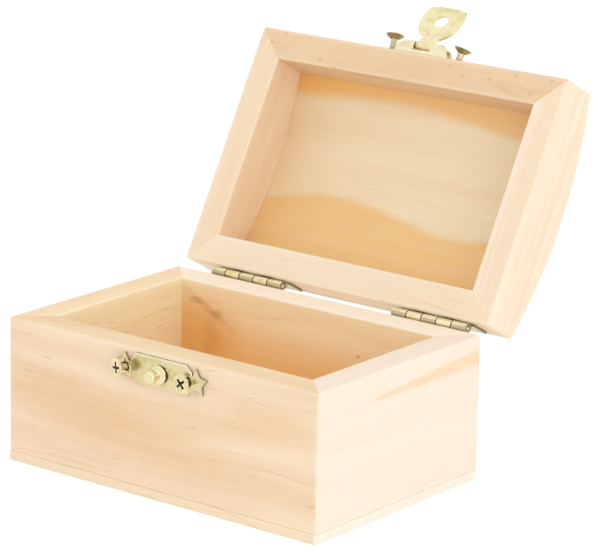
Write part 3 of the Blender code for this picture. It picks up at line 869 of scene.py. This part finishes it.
def threaded(shape, shank, bite):
    """Rings of a tapering point and a thread, from the tip up to THREAD_TOP."""
    per_turn = 10
    count = int((bite + THREAD_TOP) / THREAD_PITCH * per_turn)
    rings = []
    for step in range(count + 1):
        above = (bite + THREAD_TOP) * step / count
        height = -bite + above
        fade = min(1.0, (THREAD_TOP - height) / THREAD_PITCH, above / (1.5 * THREAD_PITCH))
        point = min(1.0, 0.25 + above / (2.4 * shank))
        ring = []
        for side in range(SCREW_SIDES):
            turn = math.tau * side / SCREW_SIDES
            phase = (height / THREAD_PITCH - side / SCREW_SIDES) % 1.0
            ridge = max(0.0, 1 - abs(phase - 0.5) / 0.28)
            radius = shank * point * (0.84 + 0.16 * ridge * fade)
            ring.append(shape.verts.new((radius * math.cos(turn), radius * math.sin(turn), height)))
        rings.append(ring)
    return rings + [circle(shape, shank * 0.84, THREAD_TOP + 0.1 * MM, SCREW_SIDES)]


def screw_mesh(head, shank, base, deep, bite, thread=False):
    """A countersunk Phillips screw along Z. base is where the head's cone starts."""
    top = base + deep
    profile = [(shank * 1.02, base), (shank + (head - shank) * 0.5, base + deep * 0.36),
               (head - 0.06 * MM, base + deep * 0.78), (head, base + deep * 0.86),
               (head - 0.03 * MM, base + deep * 0.95), (head - 0.2 * MM, top - 0.02 * MM),
               (head * 0.55, top)]
    shape = bmesh.new()
    if thread:
        rings = threaded(shape, shank, bite)
        profile.insert(0, (shank * 0.9, base - 0.15 * MM))
    else:
        rings = []
        profile = [(0.3 * shank, -bite), (shank, -bite + shank), *profile]
    rings += [circle(shape, radius, height, SCREW_SIDES) for radius, height in profile]
    loft(shape, rings)
    return baked(shape, [cross_pocket(head * 0.60, head * 0.27, deep * 0.85, top)])


def pin_mesh(half, sides=24):
    """A straight pin along Z with eased ends."""
    return baked(revolve([(PIN_RADIUS - PIN_EASE, -half), (PIN_RADIUS, -half + PIN_EASE),
                          (PIN_RADIUS, half - PIN_EASE), (PIN_RADIUS - PIN_EASE, half)], sides))


def standing(seat, outward, spin=0.0, lift=0.0):
    """Place of a piece drawn along Z that stands on a seat."""
    outward = Vector(outward).normalized()
    turn = outward.to_track_quat("Z", "X").to_matrix().to_4x4()
    return (Matrix.Translation(Vector(seat) + outward * lift) @ turn
            @ Matrix.Rotation(math.radians(spin), 4, "Z"))


def add_hinges():
    """Both butt hinges with their pins and screws."""
    small = screw_mesh(HINGE_HEAD, HINGE_SHANK, -HINGE_SUNK, HINGE_COUNTERSINK, HINGE_BITE)
    # Painted shade for the screws' recesses, undersides and shanks.
    painted_shade = screw_painted_shade(HINGE_HEAD, 0, HINGE_COUNTERSINK - HINGE_SUNK)
    spin = 12
    for side, centre in HINGE_CENTRES.items():
        parts = (("base", -1, (0, 2, 4)), ("lid", 1, (1, 3)))
        for body, way, indices in parts:
            mesh = leaf_mesh(centre, way, indices)
            brass_piece(f"{side}_hinge_{body}_leaf", mesh, body, painted_shade=leaf_painted_shade)
            for number, step in ((1, -1), (2, 1)):
                seat = (centre + step * LEAF_SCREW_SPREAD, HALF_D + LEAF_OFF + LEAF_SHEET / 2,
                        HINGE_AXIS.z + way * LEAF_SCREW_REACH)
                spin += 37
                brass_piece(f"{side}_hinge_{body}_screw_{number}", small.copy(), body,
                            "brass_turned", standing(seat, (0, 1, 0), spin), painted_shade)
        place = standing((centre, HINGE_AXIS.y, HINGE_AXIS.z), (1, 0, 0))
        brass_piece(f"{side}_hinge_pin", pin_mesh(HINGE_LENGTH / 2), "base", "brass_turned", place,
                    tint=(0.55, 0.47, 0.27), rough=0.35)


def star_solid(x, z):
    """A raised five-pointed star whose ridges meet in its middle."""
    shape = bmesh.new()
    points = 5
    low, edge, peak = -SEAT - 0.1 * MM, -SEAT - 0.72 * MM, -SEAT - PLATE_SHEET - STAR_RAISE
    rings = [[], []]
    for step in range(2 * points):
        radius = STAR_INNER if step % 2 else STAR_RADIUS
        angle = math.pi / 2 + math.pi * step / points
        across, up = x + radius * math.cos(angle), z + radius * math.sin(angle)
        rings[0].append(shape.verts.new((across, low, up)))
        rings[1].append(shape.verts.new((across, edge, up)))
    middle = shape.verts.new((x, peak, z))
    for step in range(2 * points):
        after = (step + 1) % (2 * points)
        shape.faces.new([rings[0][step], rings[0][after], rings[1][after], rings[1][step]])
        shape.faces.new([rings[1][step], rings[1][after], middle])
    shape.faces.new(rings[0])
    return shape


def plate_solid(middle):
    """The plate between the stars, with a pressed slope round its edge."""
    shape = bmesh.new()
    half, cut = PLATE_TALL / 2, PLATE_CUT
    right = [(PLATE_HALF - cut, -half), (PLATE_HALF, -half + cut), (PLATE_HALF, half - cut),
             (PLATE_HALF - cut, half)]
    left = [(-x, z) for x, z in reversed(right)]
    corners = [*left[2:], *right, *left[:2]]
    edge = ((0.0, 0.0), (0.0, 0.4 * MM), (0.12 * MM, 0.55 * MM), (0.75 * MM, 0.93 * MM),
            (0.95 * MM, PLATE_SHEET))
    rings = []
    for inset, off in edge:
        wide, tall = 1 - inset / PLATE_HALF, 1 - inset / half
        rings.append([shape.verts.new((CATCH_X + x * wide, -SEAT - off, middle + z * tall))
                      for x, z in corners])
    loft(shape, rings)
    return shape


def screw_places(screws, height):
    """Side, seat, direction and lift of each screw of a front plate."""
    for side, (x, lift, lean) in screws.items():
        turn = math.radians(lean)
        seat = (CATCH_X + x, -SEAT - PLATE_SHEET, height)
        yield side, seat, (-math.sin(turn), -math.cos(turn), 0), lift


def plate_holes(screws, height):
    """Cutters for the screw holes of a front plate."""
    holes = []
    for _, seat, outward, _ in screw_places(screws, height):
        out = Vector(outward)
        holes.append(rod(Vector(seat) - out * 4 * MM, Vector(seat) + out * 2 * MM, CATCH_HOLE))
    return holes


def front_plate(screws, height, cutters=(), adders=()):
    """A star-ended plate with its screw holes, and any further cuts and additions."""
    stars = [star_solid(CATCH_X + way * STAR_OFFSET, height) for way in (-1, 1)]
    return baked(plate_solid(height), [*plate_holes(screws, height), *cutters],
                 [*stars, *adders], bevel=0.09 * MM, angle=42)


def add_catch_screws(part, screws, height, body, spins):
    """The two proud screws of a front plate."""
    long = screw_mesh(CATCH_HEAD, CATCH_SHANK, CATCH_BARE, CATCH_COUNTERSINK, CATCH_BITE,
                      thread=True)
    # Painted shade for the screws' recesses, undersides and shanks.
    painted_shade = screw_painted_shade(CATCH_HEAD, CATCH_BARE, CATCH_BARE + CATCH_COUNTERSINK)
    for (side, seat, outward, lift), spin in zip(screw_places(screws, height), spins):
        place = standing(seat, outward, spin, lift - CATCH_SUNK)
        brass_piece(f"{part}_screw_{side}", long.copy(), body, "brass_turned", place, painted_shade)


def add_keeper():
    """The keeper plate with its stud and screws."""
    hole = rod((CATCH_X, -HALF_D + MM, KEEPER_HEIGHT), (CATCH_X, -SEAT - 2 * MM, KEEPER_HEIGHT),
               STUD_HOLE)
    mesh = front_plate(KEEPER_SCREWS, KEEPER_HEIGHT, [hole])
    # The plate's sides next to the wood get a painted shadow line.
    brass_piece("keeper_plate", mesh, "base", painted_shade=plate_side_painted_shade, tint=(0.76, 0.65, 0.37))

    foot = [(1.2, -1.0), (1.2, 0.12)]
    flange = [(2.55, 0.12), (2.64, 0.3), (2.5, 0.5), (1.9, 0.68)]
    neck = [(1.45, 0.9), (1.22, 1.3), (1.2, 2.3), (1.3, 2.75)]
    knob = [(1.62, 3.05), (1.76, 3.3), (1.79, 3.7), (1.72, 4.1), (1.5, 4.38), (1.1, 4.54),
            (0.5, 4.59)]
    profile = [(radius * MM, height * MM) for radius, height in foot + flange + neck + knob]
    place = standing((CATCH_X, -HALF_D - 1.3 * MM, KEEPER_HEIGHT), (0, -1, 0))
    brass_piece("keeper_stud", baked(revolve(profile, 32)), "base", "brass_turned", place)
    add_catch_screws("keeper", KEEPER_SCREWS, KEEPER_HEIGHT, "base", (8, 40))


def boss_solid():
    """The raised boss between the lid plate and its two knuckles, stepped down behind the hasp."""
    gap = HASP_KNUCKLE_HALF + KNUCKLE_GAP
    slope = ((9.4, 0.5), (9.2, 1.6), (8.9, 2.5), (8.2, 3.2), (7.2, 3.7), (6.3, 3.95))
    low = [(-x * MM, high * MM) for x, high in slope]
    low += [(-gap, low[-1][1]), (-gap, BOSS_FLOOR)]
    outline = low + [(-x, high) for x, high in reversed(low)]
    eased = ((0.45 * MM, 0.0), (0.12 * MM, 0.15 * MM), (0.0, 0.5 * MM))
    levels = [*eased, *((inset, BOSS_TALL - off) for inset, off in reversed(eased))]
    shape = bmesh.new()
    rings = []
    for inset, off in levels:
        z = HASP_AXIS.z - BOSS_TALL / 2 + off
        rings.append([shape.verts.new((CATCH_X + x * (1 - inset / (10 * MM)),
                                       -HALF_D - max(high - inset, 0.3 * MM), z))
                      for x, high in outline])
    loft(shape, rings)
    return shape


def add_catch():
    """The lid's catch plate with its boss, knuckles, pin and screws."""
    def bar(start, end, radius, sides=28):
        return rod((CATCH_X + start, HASP_AXIS.y, HASP_AXIS.z),
                   (CATCH_X + end, HASP_AXIS.y, HASP_AXIS.z), radius, sides=sides)
    height, reach = RIM + CATCH_HEIGHT, CATCH_KNUCKLE_END
    knuckles = [bar(way * (HASP_KNUCKLE_HALF + KNUCKLE_GAP), way * reach,
                    HASP_BARREL - 0.01 * MM, 40) for way in (-1, 1)]
    mesh = front_plate(LID_SCREWS, height, [bar(-reach - MM, reach + MM, BORE_RADIUS)],
                       [boss_solid(), *knuckles])
    # The plate's sides next to the wood get a painted shadow line.
    brass_piece("catch_plate", mesh, "lid", painted_shade=plate_side_painted_shade, tint=(0.86, 0.74, 0.50))
    brass_piece("catch_pin", pin_mesh(reach), "lid", "brass_turned",
                standing(HASP_AXIS, (1, 0, 0)))
    add_catch_screws("catch", LID_SCREWS, height, "lid", (25, 60))


def hasp_outline():
    """Right half of the hasp's edge, as (across, reach below the pin)."""
    hole = HASP_AXIS.z - KEEPER_HEIGHT
    points = [(HASP_KNUCKLE_HALF - 0.05 * MM, 2.4 * MM)]
    neck_turn = math.acos(HASP_KNUCKLE_HALF / HASP_WIDE)
    shoulder = (hole - HASP_NECK) / math.sin(neck_turn)
    steps = 16
    for step in range(steps):
        turn = neck_turn * (1 - step / steps)
        points.append((HASP_WIDE * math.cos(turn), hole - shoulder * math.sin(turn)))
    for step in range(steps):
        turn = math.pi / 2 * step / steps
        across = HASP_WIDE * math.cos(turn) ** (2 / HASP_SQUARE)
        points.append((across, hole + (HASP_TIP - hole) * math.sin(turn) ** (2 / HASP_SQUARE)))
    return points + [(0.0, HASP_TIP)]


def add_hasp():
    """The swinging hasp: curled knuckle, broad body with a hole, and a bent lip."""
    half = hasp_outline()
    outline = half + [(-x, reach) for x, reach in reversed(half) if x > 0]
    shape = bmesh.new()
    y, z = HASP_AXIS.y, HASP_AXIS.z
    extrude(shape, [(CATCH_X + x, y + HASP_SHEET / 2, z - reach) for x, reach in outline],
            (0, -HASP_SHEET, 0))
    path = [(y, z - 3.6 * MM), (y, z - 2.9 * MM), (y + 0.25 * MM, z - 2.2 * MM),
            (y + 0.7 * MM, z - 1.5 * MM), (y + CURL_RADIUS, z - 0.8 * MM)]
    path += arc((y, z), CURL_RADIUS, 0, 262, 22)
    inner = HASP_KNUCKLE_HALF - 0.07 * MM
    curl = strip(path, CURL_SHEET, [(CATCH_X - inner, CATCH_X + inner, 0, len(path) - 1)])
    low = z - HASP_TIP
    path = [(y + 0.05 * MM, low + 1.4 * MM), (y, low + 0.8 * MM),
            (y - 0.25 * MM, low + 0.3 * MM), (y - 0.9 * MM, low - 0.05 * MM),
            (y - LIP_REACH + 0.05 * MM, low - 0.22 * MM)]
    lip = strip(path, LIP_SHEET, [(CATCH_X - LIP_HALF, CATCH_X + LIP_HALF, 0, len(path) - 1)])
    hole = rod((CATCH_X, y - 2 * MM, KEEPER_HEIGHT), (CATCH_X, y + 2 * MM, KEEPER_HEIGHT),
               HASP_HOLE, sides=40)
    mesh = baked(shape, [hole], [curl, lip], bevel=0.13 * MM, segments=3, angle=50)
    # Painted shade: the lip's lowest faces are darkened.
    brass_piece("hasp", mesh, "hasp", tint=(0.88, 0.80, 0.50), rough=0.3,
                painted_shade=lambda centre, normal: 0.45 if centre.z < low + 0.25 * MM else 0.0)


add_hinges()
add_keeper()
add_catch()
add_hasp()


# ------------------------------------------------------- floor, light, camera

FLOOR_SIZE, FLOOR_GREY, FLOOR_GLOW, WORLD_GLOW = 6.0, (0.3, 0.3, 0.3), 0.75, 1.04
KEY_PLACE, KEY_AIM, KEY_SIZE, KEY_POWER = (0.75, -0.45, 0.25), (0, 0, 0.05), 0.5, 1.0
CAMERA_TURN, CAMERA_RISE, CAMERA_ROLL = 37.74, 15.3, 1.17
CAMERA_AWAY, CAMERA_AIM, CAMERA_LENS = 0.9503, Vector((0.01933, 0, 0.06003)), 207.57


def add_floor():
    """A plain pale floor."""
    mesh = bpy.data.meshes.new("floor")
    shape = bmesh.new()
    bmesh.ops.create_grid(shape, x_segments=1, y_segments=1, size=FLOOR_SIZE)
    shape.to_mesh(mesh)
    shape.free()
    g = Graph("floor")
    g.fill(g.shader, {"Base Color": FLOOR_GREY, "Roughness": 0.9, "Specular IOR Level": 0.0,
                      "Emission Color": (1, 1, 1), "Emission Strength": FLOOR_GLOW})
    mesh.materials.append(g.material)
    floor = linked("floor", mesh)
    floor.location.z = -0.05 * MM


def add_light(name, place, aim, size, power):
    """A soft square lamp."""
    lamp = bpy.data.lights.new(name, "AREA")
    lamp.size = size
    lamp.energy = power
    made = linked(name, lamp)
    made.location = place
    made.rotation_euler = (Vector(aim) - Vector(place)).to_track_quat("-Z", "Y").to_euler()


def add_world(strength):
    """Even studio surroundings."""
    world = bpy.data.worlds.new("studio")
    world.use_nodes = True
    back = world.node_tree.nodes["Background"]
    back.inputs["Color"].default_value = (1, 1, 1, 1)
    back.inputs["Strength"].default_value = strength
    bpy.context.scene.world = world


def add_camera():
    """A long lens from the front right, a little above the box."""
    turn, rise, roll = (math.radians(a) for a in (CAMERA_TURN, CAMERA_RISE, CAMERA_ROLL))
    toward = Vector((math.sin(turn) * math.cos(rise), -math.cos(turn) * math.cos(rise),
                     math.sin(rise)))
    right = Vector((math.cos(turn), math.sin(turn), 0))
    up = toward.cross(right)
    tilted_right = right * math.cos(roll) + up * math.sin(roll)
    tilted_up = up * math.cos(roll) - right * math.sin(roll)
    data = bpy.data.cameras.new("camera")
    data.lens = CAMERA_LENS
    data.sensor_width = 36
    data.sensor_fit = "HORIZONTAL"
    data.clip_start = 0.01
    camera = linked("camera", data)
    turned = Matrix((tilted_right, tilted_up, toward)).transposed().to_4x4()
    camera.matrix_world = Matrix.Translation(CAMERA_AIM + toward * CAMERA_AWAY) @ turned
    bpy.context.scene.camera = camera


add_floor()
add_world(WORLD_GLOW)
add_light("key", KEY_PLACE, KEY_AIM, KEY_SIZE, KEY_POWER)
add_camera()
bpy.context.scene.view_settings.view_transform = "Standard"
